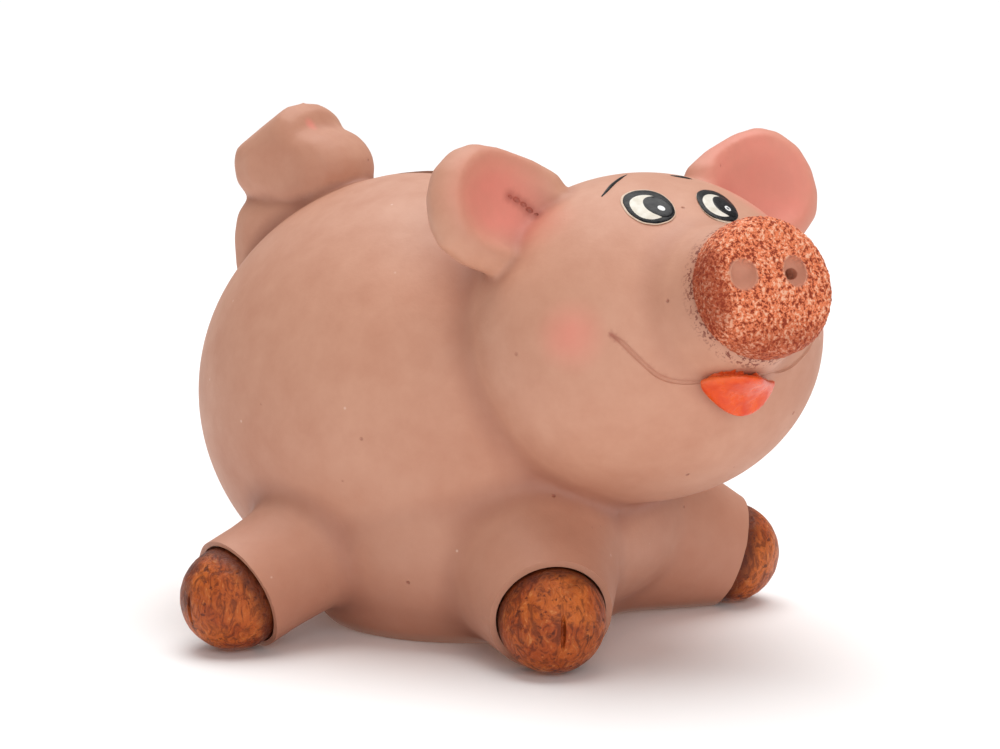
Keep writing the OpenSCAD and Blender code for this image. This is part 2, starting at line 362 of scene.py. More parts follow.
def strand(name, spots, radii):                     # a tapered round strand through the points
    bpy.ops.object.select_all(action="DESELECT")
    bpy.ops.curve.primitive_nurbs_path_add()
    piece = bpy.context.view_layer.objects.active
    data = piece.data
    data.splines.clear()
    line = data.splines.new("BEZIER")
    line.bezier_points.add(len(spots) - 1)
    for point, spot, radius in zip(line.bezier_points, spots, radii):
        point.co, point.radius = Vector(spot) * mm, radius
        point.handle_left_type = point.handle_right_type = "AUTO"
    data.dimensions, data.bevel_depth, data.bevel_resolution, data.resolution_u = "3D", mm, 3, 8
    data.use_fill_caps = True
    only(piece)
    bpy.ops.object.convert(target="MESH")
    return closed(settle(name), 0.00002)


def sticker(name, outline, lift, thick, rings=(0.8, 0.55, 0.28)):      # a thin skin of paint laid on the face
    bpy.ops.object.select_all(action="DESELECT")
    bpy.ops.mesh.primitive_circle_add(vertices=len(outline), radius=mm, fill_type="NGON")
    piece = bpy.context.view_layer.objects.active
    mid = Vector((sum(u for u, v in outline), sum(v for u, v in outline))) / len(outline)
    for vertex, (u, v) in zip(piece.data.vertices, outline):
        vertex.co = Vector((u, v, 60)) * mm
    bpy.ops.object.mode_set(mode="EDIT")
    bpy.ops.mesh.select_all(action="SELECT")
    share = 1
    for ring in rings:
        bpy.ops.mesh.extrude_region_move()
        bpy.ops.transform.resize(value=(ring / share, ring / share, 1),
                                 center_override=(mid.x * mm, mid.y * mm, 60 * mm))
        share = ring
    bpy.ops.mesh.select_all(action="SELECT")
    bpy.ops.mesh.normals_make_consistent(inside=False)
    bpy.ops.object.mode_set(mode="OBJECT")
    piece.matrix_world = Matrix.Translation(headCentre * mm) @ (headTurn @ turned(("X", 90))).to_4x4()
    bpy.context.view_layer.update()
    apply(piece, "SHRINKWRAP", target=clay, wrap_method="PROJECT", use_project_z=True,
          use_negative_direction=True, use_positive_direction=False, offset=lift * mm)
    apply(piece, "SOLIDIFY", thickness=thick * mm, offset=-1)
    apply(piece, "SUBSURF", levels=2, render_levels=2)
    return closed(settle(name), 0.000005)


# eyes, brows and tongue, laid on while the face is whole
eye = {
    "outline": [(-3.3, 1.6), (-2.0, 2.9), (0.2, 3.6), (2.6, 3.3), (3.8, 1.9), (3.9, -0.2), (3.1, -2.2),
                (1.4, -3.3), (-1.0, -3.7), (-3.0, -3.0), (-4.0, -1.1)],
    "right": (-8.2, 18.6), "left": (4.7, 17.5),
    "halo": 1.25, "line": 1.18, "white": 0.9, "whiteShift": (-0.35, -0.2), "pupil": 2.7,
       "pupilAt": (1.1, -0.4),
    # shine and spot: a painted highlight on each pupil, white with a grey middle
    "shine": 1.0, "paintedGlintAt": (1.3, -0.95), "spot": 0.45,
}
eyeLayers = {}


def disc(radius, at, sides=14):
    turns = [t * math.tau / sides for t in range(sides)]
    return [(at[0] + radius * math.cos(turn), at[1] + radius * math.sin(turn)) for turn in turns]


for side in ("right", "left"):
    ex, ez = eye[side]
    sx, sz = eye["whiteShift"]
    px, pz = ex + eye["pupilAt"][0], ez + eye["pupilAt"][1]
    paintedGlintAt = (ex + eye["paintedGlintAt"][0], ez + eye["paintedGlintAt"][1])

    def swollen(share, du=0.0, dv=0.0):
        return [(ex + du + u * share, ez + dv + v * share) for u, v in eye["outline"]]

    eyeLayers[side] = {
        "halo": sticker("eye_halo_" + side, swollen(eye["halo"]), 0.07, 0.3),
        "line": sticker("eye_line_" + side, swollen(eye["line"]), 0.14, 0.34),
        "white": sticker("eye_white_" + side, swollen(eye["white"], sx, sz), 0.22, 0.34),
        "pupil": sticker("eye_pupil_" + side, disc(eye["pupil"], (px, pz)), 0.3, 0.34),
        # a painted highlight on the pupil, white with a grey middle
        "shine": sticker("eye_painted_glint_" + side, disc(eye["shine"], paintedGlintAt), 0.38, 0.3, rings=(0.6, 0.3)),
        "spot": sticker("eye_painted_glint_core_" + side, disc(eye["spot"], paintedGlintAt), 0.43, 0.3, rings=(0.6, 0.3)),
    }
brows = {
    "right": [(-12.8, 22.4), (-11.0, 23.5), (-9.3, 24.5), (-6.3, 25.9), (-3.4, 27.0)],
    "left": [(3.4, 25.6), (4.2, 25.2), (5.0, 24.9), (5.9, 24.6), (6.9, 24.4)],
}
browRadii = (0.2, 0.34, 0.4, 0.34, 0.16)
browPieces = [strand("brow_" + side, [faceAt(x, z, -0.1) for x, z in path], browRadii)
              for side, path in brows.items()]
mouth = {
    "outline": [(-9.8, -12.0), (-8.6, -11.6), (-6.0, -11.9), (-3.0, -12.2), (-0.6, -12.6), (1.6, -13.2),
                (4.0, -13.3), (5.4, -13.6), (6.0, -14.4), (5.8, -16.0), (4.6, -17.9), (2.4, -19.2),
                (-0.6, -19.6), (-4.1, -18.5), (-7.2, -16.2), (-9.0, -14.0)],
    "lift": 0.75, "thick": 2.1,
    "beads": [(-3.4, -13.0, 0.55), (-2.3, -13.5, 0.72), (-1.1, -13.2, 0.66), (0.3, -13.5, 0.5)],
}
tongue = sticker("tongue_glazed", mouth["outline"], mouth["lift"], mouth["thick"])
beads = [ball("bead", faceAt(x, z, 0.95), (r, r, r), rings=8) for x, z, r in mouth["beads"]]
only(tongue, *beads)
bpy.ops.object.join()
tongue = settle("tongue_glazed")
apply(tongue, "REMESH", mode="VOXEL", voxel_size=0.2 * mm)
apply(tongue, "SMOOTH", factor=0.5, iterations=3)
smile = {
    "right": [(-21.6, -2.8), (-20.1, -4.6), (-18.8, -6.5), (-17.2, -8.5), (-15.2, -10.6), (-12.7, -12.0),
              (-8.6, -12.9), (-4.0, -13.1), (0, -13.4)],
    "left": [(0, -13.4), (4.0, -13.0), (8.6, -12.4), (12.3, -11.6), (15.2, -10.2), (18.0, -8.6),
             (20.4, -6.6)],
    "lip": [(-4.9, -11.0), (-3.4, -11.1), (-1.7, -11.1)],
}
smileInk = {"right": (1.0, 0.2), "left": (0.2, 0.12), "lip": (1.0, 0.9)}
grooves = []
inkSpots = []                                       # spot, how dark
for part, path in smile.items():
    spots = [faceAt(x, z, 0.2) for x, z in path]
    width = 0.26 if part == "lip" else 0.5
    grooves.append(strand("groove", spots, [width * 0.45] + [width] * (len(spots) - 2) + [width * 0.45]))
    dark, pale = smileInk[part]
    for i in range(len(spots) - 1):
        for t in range(8):
            share = (i + t / 8) / (len(spots) - 1)
            inkSpots.append((spots[i].lerp(spots[i + 1], t / 8), dark * (1 - share) + pale * share))
cheeks = [faceAt(side * 26.5, -1.6) for side in (-1, 1)]
tongueTop = faceAt(0, -12.6)
for groove in grooves:
    carve(clay, groove)
pits = [(-25.0, 25.6, 0.5), (-23.9, 24.9, 0.8), (-22.8, 24.0, 0.7), (-22.0, 22.9, 0.8), (-21.2, 21.9, 0.5)]
tornSpots = [faceAt(x, z, -0.4) for x, z, r in pits]
for x, z, r in pits:
    carve(clay, ball("pit", faceAt(x, z, r * 0.25), (r, r * 0.8, r * 0.7), headSpin(("Y", 40)), rings=8))
print("stage: face painted on, smile pressed in")

# the clay: crisp cuts, hollow inside, openings
rimNoise = {"grain": 5.0, "depth": 1.3, "cuts": 5, "reach": 26}


def ruffle(piece, cuts, grain, depth):              # breaks up a surface with soft noise
    only(piece)
    bpy.ops.object.mode_set(mode="EDIT")
    bpy.ops.mesh.select_all(action="SELECT")
    bpy.ops.mesh.subdivide(number_cuts=cuts)
    bpy.ops.object.mode_set(mode="OBJECT")
    cloud = bpy.data.textures.new(piece.name + "_cloud", "CLOUDS")
    cloud.noise_scale = grain * mm
    cloud.noise_depth = 2
    apply(piece, "DISPLACE", texture=cloud, texture_coords="GLOBAL", strength=depth * mm, mid_level=0.5)
    return piece


carve(clay, block("table", (0, 0, -25), (300, 300, 50)))
for name, leg in legs.items():
    reach = rimNoise["reach"]
    end = rod("rimCut_" + name, onLeg(leg, reach / 2 - sleeve["rimBack"]), sleeve["rim"] + 5, reach,
              leg["turn"].to_euler(), sides=32)
    ruffle(end, rimNoise["cuts"], rimNoise["grain"], rimNoise["depth"])
    carve(clay, end)
    carve(clay, ball("socket_" + name, leg["seat"], [sleeve["hoof"] + sleeve["gap"]] * 3))

hollow = {"wall": 5}
room = [
    ball("bellyRoom", belly["at"], [r - hollow["wall"] for r in belly["radii"]]),
    ball("faceRoom", onHead(0, 0, 0), [r - hollow["wall"] for r in face["radii"]], headSpin()),
]
inside = knead("inside", room, 1.6, 6)
carve(clay, inside)
stopperLow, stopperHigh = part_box("stopper")
stopperAt = (stopperLow + stopperHigh) / 2 / mm
stopperRadius = (stopperHigh.x - stopperLow.x) / 2 / mm
hole = {"radius": stopperRadius - 2.2, "recess": stopperRadius + 0.5, "deep": 2.2}
carve(clay, rod("bellyHole", (0, stopperAt.y, 5), hole["radius"], 24, sides=96))
carve(clay, rod("bellyRecess", (0, stopperAt.y, hole["deep"] - 5), hole["recess"], 10, sides=96))
coinSlot = {"long": 29, "wide": 4.6, "ahead": 6.5}
slot = block("coinSlot", (0, belly["at"][1] - coinSlot["ahead"], 78),
             (coinSlot["wide"], coinSlot["long"], 34))
apply(slot, "BEVEL", width=1.6 * mm, segments=4)
carve(clay, slot)
print("stage: clay hollowed and cut")

# the snout: a domed puck, stippled, with two nostrils
snoutShape = {"at": (-1.5, -38.6, -0.4), "radius": 11.9, "wide": 1.06, "thick": 8.6, "round": 3.2,
              "nostrils": ((-8.4, 1.3), (1.9, 1.0)), "vent": 1.0, "grain": 0.62, "rough": 0.46}
x, y, z = snoutShape["at"]
snout = rod("snout_stippled", onHead(x, y, z), snoutShape["radius"], snoutShape["thick"], headSpin(("X", 90)))
apply(snout, "BEVEL", width=snoutShape["round"] * mm, segments=8, limit_method="ANGLE",
      angle_limit=math.radians(50))
dome = ball("dome", onHead(x, y - 1.2, z), (snoutShape["radius"] - 0.6, 4.1, snoutShape["radius"] - 0.6),
            headSpin())
snout = knead("snout_stippled", [snout, dome], 0.3, 10)
snout.data.transform(Matrix.Translation(headCentre * mm) @ headTurn.to_4x4() @ Matrix.Diagonal(
    (snoutShape["wide"], 1, 1, 1)) @ headTurn.inverted().to_4x4() @ Matrix.Translation(-headCentre * mm))
stipple = bpy.data.textures.new("stippleGrain", "CLOUDS")
stipple.noise_scale, stipple.noise_depth = snoutShape["grain"] * mm, 1
apply(snout, "DISPLACE", texture=stipple, texture_coords="GLOBAL", strength=snoutShape["rough"] * mm,
      mid_level=0.5)
front = y - snoutShape["thick"] / 2
for i, (nx, nz) in enumerate(snoutShape["nostrils"]):
    carve(snout, ball("nostril", onHead(nx, front - 0.8, nz), (2.4, 2.6, 2.7), headSpin(("Y", 20)), rings=20))
nx, nz = snoutShape["nostrils"][1]
ventTurn = headSpin(("X", 90))
nx += 0.7
carve(snout, rod("vent", onHead(nx, front, nz), snoutShape["vent"], 40, ventTurn, sides=24))
carve(clay, rod("vent", onHead(nx, front + 14, nz), snoutShape["vent"], 36, ventTurn, sides=24))

# hooves: rough balls with a cleft
hoofShape = {"ripple": 0.28, "grain": 3.0, "cleft": (0.5, 1.3, 4.6)}
hooves = {}
for name, leg in legs.items():
    hoof = ball("hoof_cap_" + name, onLeg(leg, -0.35), [sleeve["hoof"]] * 3)
    apply(hoof, "REMESH", mode="VOXEL", voxel_size=0.34 * mm)
    cloud = bpy.data.textures.new("hoofCloud_" + name, "CLOUDS")
    cloud.noise_scale, cloud.noise_depth = hoofShape["grain"] * mm, 3
    apply(hoof, "DISPLACE", texture=cloud, texture_coords="GLOBAL", strength=hoofShape["ripple"] * mm,
          mid_level=0.6)
    apply(hoof, "SMOOTH", factor=0.5, iterations=2)
    cleftAt = leg["seat"] + (leg["out"] + Vector((0, 0, 0.35))).normalized() * sleeve["hoof"]
    wide, deep, tall = hoofShape["cleft"]
    cleftTurn = turned(("Z", leg["heading"]), ("X", leg["tilt"] * 0.4)).to_euler()
    cut = ball("cleft", cleftAt, (wide, deep, tall), cleftTurn, rings=12)
    carve(hoof, cut)
    carve(hoof, block("table", (0, 0, -25), (300, 300, 50)))
    hooves[name] = hoof

# the stopper: flange, cup and grip, with softened edges
stopperShape = {"flange": 1.6, "wall": 1.8, "grip": 2.4, "soft": 0.45}
low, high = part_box("stopper")
low, high = low / mm, high / mm
sy = (low.y + high.y) / 2
plugRadius = hole["radius"] - 0.06
stopper = rod("stopper_rubber", (0, sy, low.z + stopperShape["flange"] / 2), (high.x - low.x) / 2,
              stopperShape["flange"], sides=96)
apply(stopper, "BEVEL", width=stopperShape["soft"] * mm, segments=4, limit_method="ANGLE", angle_limit=0.8)
plug = rod("plug", (0, sy, (low.z + 0.3 + high.z) / 2), plugRadius, high.z - low.z - 0.3, sides=96)
apply(plug, "BEVEL", width=0.9 * mm, segments=4, limit_method="ANGLE", angle_limit=0.8)
carve(stopper, plug, "UNION")
cup = rod("cup", (0, sy, low.z - 5 + (high.z - low.z - stopperShape["wall"]) / 2),
          plugRadius - stopperShape["wall"], high.z - low.z - stopperShape["wall"] + 10, sides=96)
apply(cup, "BEVEL", width=0.8 * mm, segments=4, limit_method="ANGLE", angle_limit=0.8)
carve(stopper, cup)
grip = block("grip", (0, sy, (low.z + 0.4 + high.z - 1) / 2), (2 * plugRadius - 1, stopperShape["grip"],
                                                                 high.z - low.z - 1.4))
apply(grip, "BEVEL", width=0.5 * mm, segments=3)
carve(stopper, grip, "UNION")
print("stage: snout, hooves and stopper made")


# the clay parted into the pieces it was luted from
def splitOff(name, cutter):                     # the part of the clay inside the cutter becomes its own piece
    piece = copyOf(clay, name)
    carve(piece, cutter, "INTERSECT", keep=True)
    carve(clay, cutter)
    return piece


skin = {}
for name, leg in legs.items():
    skin["leg_" + name] = splitOff("sleeve_" + name,
                                   rod("cut", onLeg(leg, 12), 15.5, 40, leg["turn"].to_euler()))
earCut = {"normal": 38.7, "away": 31.3}
for side, word in ((-1, "right"), (1, "left")):
    n = Vector((math.sin(math.radians(earCut["normal"])) * side, 0, math.cos(math.radians(earCut["normal"]))))
    at = onHead(*(n * (earCut["away"] + 30) + Vector((0, -3, 0))))
    skin["ear_" + word] = splitOff("ear_lobe_" + word, block("cut", at, (60, 34, 60),
                                                             headSpin(("Y", side * earCut["normal"]))))
tailCut = {"lean": -30, "away": 43}
n = turned(("X", tailCut["lean"])) @ Vector((0, 0, 1))
skin["tail"] = splitOff("tail_curl",
                        block("cut", Vector(belly["at"]) + n * (tailCut["away"] + 25), (40, 90, 50),
                              turned(("X", tailCut["lean"])).to_euler()))
neck = {"at": (0, -12.3, 50), "lean": -23, "chin": 24.5}
ahead = block("cut", Vector(neck["at"]) + turned(("X", neck["lean"])) @ Vector((0, -60, 0)), (160, 120, 200),
              turned(("X", neck["lean"])).to_euler())
carve(ahead, block("under", (0, -60, neck["chin"] - 100), (300, 300, 200)))
skin["head_shell"] = splitOff("head_skin", ahead)
clay.name = clay.data.name = "body_skin"
skin["body_shell"] = clay
print("stage: clay parted into", len(skin), "pieces")


# masks brushed on the pieces: painted crease shade with some brown wash, rose and ink on the clay, rims and
# dents on the rest
def spotsOf(piece):                                 # the piece's points in millimetres
    spots = np.empty(len(piece.data.vertices) * 3)
    piece.data.vertices.foreach_get("co", spots)
    return spots.reshape(-1, 3) / mm


def strokes(piece, *brushes):                       # one colour channel for each brush
    spots = spotsOf(piece)
    values = np.ones((len(spots), 4))
    for channel, share in enumerate(brushes):
        values[:, channel] = np.clip(share(spots), 0, 1)
    layer = piece.data.color_attributes.new("brushed", "FLOAT_COLOR", "POINT")
    layer.data.foreach_set("color", values.ravel())


def soft(distance, inner, outer):                   # 1 up to inner, 0 from outer on, smooth between
    t = np.clip((outer - distance) / (outer - inner), 0, 1)
    return t * t * (3 - 2 * t)


def daub(spots, at, inner, outer):
    return soft(np.linalg.norm(spots - np.array(at), axis=1), inner, outer)


def drawn(spots, along, inner, outer):              # along: spots with how dark each one is
    out = np.zeros(len(spots))
    for spot, dark in along:
        out = np.maximum(out, dark * daub(spots, spot, inner, outer))
    return out


headSide, headNose, headUp = (np.array(headTurn @ Vector(way)) for way in ((1, 0, 0), (0, -1, 0), (0, 0, 1)))
brush = {
    "creaseDepth": 0.9,
    "cheek": {"share": 0.6, "reach": (0.5, 7.5)},
    "ear": {"share": 0.8, "wide": 1.15, "front": (-4.2, -2.0),
            "spots": {-1: (-28.4, 25.2, 3.5, 11.5), 1: (27.4, 24.6, 7, 16)}},
    "tail": {"at": (-3.4, 46.9, 88.8), "reach": (0.9, 2.0)},
    "smile": {"share": 0.7, "reach": (0.15, 0.7)},
    "torn": {"share": 0.5, "reach": (0.4, 1.9)},
    "stray": {"at": (-1.6, -36.5, -1.5), "along": (-1.0, 6.0), "round": (13, 17)},
    "snoutRim": {"at": (-1.6, -43, -0.4), "side": (-11.8, -8.2), "low": (-10.5, -5.0), "lowShare": 0.85},
    "nostril": {"back": 0.4, "reach": (2.3, 3.0)},
    "hoofEdge": (-0.4, 2.6),
    "tongueTop": (0.2, 2.4),
}


def creaseShadeAndWash(spots):                                    # painted shade in the creases, partly a brown wash left there
    found = [creaseDepth[creaseTree.find(Vector(spot) * mm)[1]] for spot in spots]
    return np.clip(np.array(found) / brush["creaseDepth"], 0, 1)


def rose(spots):                                    # cheeks, insides of the ears and the tip of the tail
    out = np.zeros(len(spots))
    local = (spots - np.array(headCentre)) @ np.array(headTurn)
    cheek, lobe = brush["cheek"], brush["ear"]
    for side, at in zip((-1, 1), cheeks):
        out = np.maximum(out, cheek["share"] * daub(spots, at, *cheek["reach"]))
        x, z, inner, outer = lobe["spots"][side]
        away = np.hypot((local[:, 0] - x) / lobe["wide"], local[:, 2] - z)
        out = np.maximum(out, lobe["share"] * soft(away, inner, outer) * soft(local[:, 1], *lobe["front"]))
    return np.maximum(out, daub(spots, brush["tail"]["at"], *brush["tail"]["reach"]))


def inked(spots):                                   # the smile, the lip line and the torn edge in the ear
    smileLine = brush["smile"]["share"] * drawn(spots, inkSpots, *brush["smile"]["reach"])
    torn = [(spot, brush["torn"]["share"]) for spot in tornSpots]
    return np.maximum(smileLine, drawn(spots, torn, *brush["torn"]["reach"]))


def dotted(spots):                                  # where the snout's dots stray on to the muzzle
    stray = brush["stray"]
    offset = spots - np.array(onHead(*stray["at"]))
    along = offset @ headNose
    aside = np.linalg.norm(offset - np.outer(along, headNose), axis=1)
    return soft(-along, *stray["along"]) * soft(aside, *stray["round"])


def hoofEdge(leg):                                  # darker where the hoof meets its sleeve
    seat, out = np.array(leg["seat"]), np.array(leg["out"])
    return lambda spots: soft((spots - seat) @ out, *brush["hoofEdge"])


def snoutRim(spots):                                # browner along the side and the lower edge
    rim = brush["snoutRim"]
    offset = spots - np.array(onHead(*rim["at"]))
    return np.maximum(soft(offset @ headSide, *rim["side"]),
                      soft(offset @ headUp, *rim["low"]) * rim["lowShare"])


def nostrilDents(spots):
    dents = [onHead(nx, front - brush["nostril"]["back"], nz) for nx, nz in snoutShape["nostrils"]]
    return np.max([daub(spots, at, *brush["nostril"]["reach"]) for at in dents], axis=0)


def tongueEdge(spots):
    return soft(-(spots - np.array(tongueTop)) @ headUp, *brush["tongueTop"])


# small words for laying out nodes
floatSocket = "NodeSocketFloat"


def put(tree, kind, sockets=None, **settings):      # adds a node, sets its values and links its inputs
    made = tree.nodes.new("ShaderNode" + kind)
    for key, value in settings.items():
        setattr(made, key, value)
    fill(tree, made, (sockets or {}).items())
    return made


def fill(tree, made, pairs):
    for key, value in pairs:
        if isinstance(value, bpy.types.NodeSocket):
            tree.links.new(value, made.inputs[key])
        else:
            made.inputs[key].default_value = value


def rgb(*screen):                                  # screen colour, 0 to 255, as the linear colour of a socket
    shares = [c / 255 for c in screen]
    return tuple(c / 12.92 if c < 0.04 else ((c + 0.055) / 1.055) ** 2.4 for c in shares) + (1,)


def blendColour(tree, share, first, second):
    made = put(tree, "Mix", data_type="RGBA")
    fill(tree, made, ((0, share), (6, first), (7, second)))
    return made.outputs[2]


def sums(tree, how, first, second):
    return put(tree, "Math", {0: first, 1: second}, operation=how).outputs[0]


def times(tree, first, second):
    return sums(tree, "MULTIPLY", first, second)


def level(tree, value, low, high, outLow=0.0, outHigh=1.0):
    made = put(tree, "MapRange", {"Value": value, "From Min": low, "From Max": high, "To Min": outLow,
                                  "To Max": outHigh})
    return made.outputs["Result"]


def noiseOf(tree, where, scale, detail, rough, twist=0.0):
    made = put(tree, "TexNoise", {"Vector": where, "Scale": scale, "Detail": detail, "Roughness": rough,
                                  "Distortion": twist})
    return made.outputs["Fac"]


def placeOf(tree):
    return put(tree, "TexCoord").outputs["Object"]


def newGroup(name, *words):                         # a group that gives out one number for each word
    tree = bpy.data.node_groups.new(name, "ShaderNodeTree")
    for word in words:
        tree.interface.new_socket(word, in_out="OUTPUT", socket_type=floatSocket)
    return tree


def giveOut(tree, **values):
    fill(tree, tree.nodes.new("NodeGroupOutput"), values.items())
    return tree


def use(tree, group):
    made = tree.nodes.new("ShaderNodeGroup")
    made.node_tree = group
    return made.outputs


def newPaint(name, rough, shine=0.5, coat=0.0):
    paint = bpy.data.materials.new(name)
    paint.use_nodes = True
    tree = paint.node_tree
    shader = tree.nodes["Principled BSDF"]
    fill(tree, shader, (("Roughness", rough), ("Specular IOR Level", shine), ("Coat Weight", coat)))
    return paint, tree, shader


def relief(tree, shader, height, depth):
    bump = put(tree, "Bump", {"Height": height, "Distance": depth})
    tree.links.new(bump.outputs[0], shader.inputs["Normal"])


def brushed(tree):                                  # the brushed masks of the piece, as three numbers
    layer = put(tree, "Attribute", attribute_name="brushed")
    return put(tree, "SeparateColor", {0: layer.outputs["Color"]}).outputs


# fired clay under thin matt paint: soft mottling, a few pinholes and pale flecks, a fine tooth
grainLook = {"broad": 34, "middle": 190, "tooth": 1500, "cells": 330, "holeSize": (0.13, 0.05),
             "holesFrom": (0.925, 0.935), "fleckSize": (0.11, 0.05), "flecksFrom": (0.94, 0.95)}


def makeClayGrain():
    tree = newGroup("clayGrain", "Mottle", "Pits", "Flecks", "Height")
    where = placeOf(tree)
    broad = noiseOf(tree, where, grainLook["broad"], 3, 0.5)
    middle = noiseOf(tree, where, grainLook["middle"], 5, 0.6)
    tooth = noiseOf(tree, where, grainLook["tooth"], 3, 0.6)
    mottle = sums(tree, "ADD", times(tree, broad, 0.65), times(tree, middle, 0.35))
    cells = put(tree, "TexVoronoi", {"Vector": where, "Scale": float(grainLook["cells"])})
    luck = put(tree, "SeparateColor", {0: cells.outputs["Color"]}).outputs
    away = cells.outputs["Distance"]
    pits = times(tree, level(tree, away, *grainLook["holeSize"]),
                 level(tree, luck[0], *grainLook["holesFrom"]))
    flecks = times(tree, level(tree, away, *grainLook["fleckSize"]),
                   level(tree, luck[1], *grainLook["flecksFrom"]))
    height = sums(tree, "ADD", times(tree, tooth, 0.10), times(tree, middle, 0.55))
    height = sums(tree, "SUBTRACT", height, times(tree, pits, 0.9))
    return giveOut(tree, Mottle=level(tree, mottle, 0.36, 0.64), Pits=pits, Flecks=flecks, Height=height)


# paint dabbed on with a dry sponge: dark and pale grains
spongeLook = {"grit": 1550, "patch": 240, "patchShare": 0.22, "darkBelow": (0.475, 0.41),
              "paleAbove": (0.55, 0.63)}


def makeSpongeDots():
    tree = newGroup("spongeDots", "Dark", "Pale", "Height")
    where = placeOf(tree)
    grit = noiseOf(tree, where, spongeLook["grit"], 2.0, 0.7, 0.2)
    patch = sums(tree, "SUBTRACT", noiseOf(tree, where, spongeLook["patch"], 2, 0.5), 0.5)
    mixed = sums(tree, "ADD", grit, times(tree, patch, spongeLook["patchShare"]))
    return giveOut(tree, Dark=level(tree, mixed, *spongeLook["darkBelow"]),
                   Pale=level(tree, mixed, *spongeLook["paleAbove"]), Height=grit)


clayGrain, spongeDots = makeClayGrain(), makeSpongeDots()

# the same pink on every clay piece, so that the luted seams don't show
# the dark red-brown for the creases is painted shade, partly a brown wash
clayLook = {"light": rgb(206, 152, 126), "deep": rgb(192, 134, 108), "creaseShadeAndWash": rgb(128, 60, 42),
            # the low colour is painted shade, darker towards the bottom of the belly and legs
            "rose": rgb(244, 136, 124), "ink": rgb(138, 50, 32), "low": rgb(150, 84, 62),
            "dot": rgb(118, 42, 22), "fleck": rgb(228, 196, 178), "lowShadeFrom": 0.036, "lowShadeTo": 0.004,
            "lowShare": 0.4, "creaseShadeAndWashShare": 0.5, "roseShare": 0.7, "pitShare": 0.5, "fleckShare": 0.55,
            "depth": 0.00022}


def pinkClay():
    paint, tree, shader = newPaint("pinkClay", 0.55)
    grain, masks, dots, where = use(tree, clayGrain), brushed(tree), use(tree, spongeDots), placeOf(tree)
    colour = blendColour(tree, grain["Mottle"], clayLook["light"], clayLook["deep"])
    # painted shade: the clay turns darker towards the bottom, under the belly and between the legs
    height = put(tree, "SeparateXYZ", {0: where}).outputs[2]
    ragged = sums(tree, "ADD", height, times(tree, grain["Mottle"], 0.006))
    low = level(tree, ragged, clayLook["lowShadeFrom"], clayLook["lowShadeTo"], 0, clayLook["lowShare"])
    colour = blendColour(tree, low, colour, clayLook["low"])
    # painted shade darkens the creases, partly a brown wash
    colour = blendColour(tree, times(tree, masks[0], clayLook["creaseShadeAndWashShare"]), colour, clayLook["creaseShadeAndWash"])
    uneven = level(tree, noiseOf(tree, where, 150, 5, 0.6), 0.3, 0.7, 0.72, 1.0)
    rosy = times(tree, times(tree, masks[1], clayLook["roseShare"]), uneven)
    colour = blendColour(tree, rosy, colour, clayLook["rose"])
    colour = blendColour(tree, times(tree, grain["Pits"], clayLook["pitShare"]), colour, clayLook["ink"])
    colour = blendColour(tree, times(tree, grain["Flecks"], clayLook["fleckShare"]), colour,
                         clayLook["fleck"])
    colour = blendColour(tree, masks[2], colour, clayLook["ink"])
    stray = put(tree, "Attribute", attribute_name="stray").outputs["Fac"]
    dotShare = level(tree, times(tree, dots["Dark"], stray), 0.12, 0.5, 0, 0.9)
    colour = blendColour(tree, dotShare, colour, clayLook["dot"])
    tree.links.new(colour, shader.inputs["Base Color"])
    tree.links.new(level(tree, grain["Mottle"], 0, 1, 0.5, 0.62), shader.inputs["Roughness"])
    relief(tree, shader, grain["Height"], clayLook["depth"])
    return paint


snoutLook = {"ground": rgb(232, 126, 82), "dark": rgb(146, 52, 24), "pale": rgb(255, 204, 172),
             "bare": rgb(205, 146, 122), "rim": rgb(146, 54, 26), "rimShare": 0.7, "depth": 0.0006}


def spongedSnout():
    paint, tree, shader = newPaint("spongedSnout", 0.6, shine=0.3)
    dots, masks = use(tree, spongeDots), brushed(tree)
    colour = blendColour(tree, times(tree, masks[0], snoutLook["rimShare"]), snoutLook["ground"],
                         snoutLook["rim"])
    colour = blendColour(tree, dots["Dark"], colour, snoutLook["dark"])
    paleShare = level(tree, masks[0], 0, 1, 0.7, 0.25)
    colour = blendColour(tree, times(tree, dots["Pale"], paleShare), colour, snoutLook["pale"])
    colour = blendColour(tree, masks[1], colour, snoutLook["bare"])
    tree.links.new(colour, shader.inputs["Base Color"])
    tree.links.new(level(tree, dots["Pale"], 0, 1, 0.68, 0.5), shader.inputs["Roughness"])
    relief(tree, shader, times(tree, dots["Height"], level(tree, masks[1], 0, 1, 1, 0.15)),
           snoutLook["depth"])
    return paint


# hooves: orange-brown stain wiped over dark umber
stainLook = {"tan": rgb(198, 102, 40), "rust": rgb(166, 72, 24), "umber": rgb(74, 24, 8),
             "pale": rgb(220, 146, 82), "streakTurn": (0.2, 0.5, 0.3), "streakScale": (1.0, 1.0, 0.5),
             "depth": 0.0003}


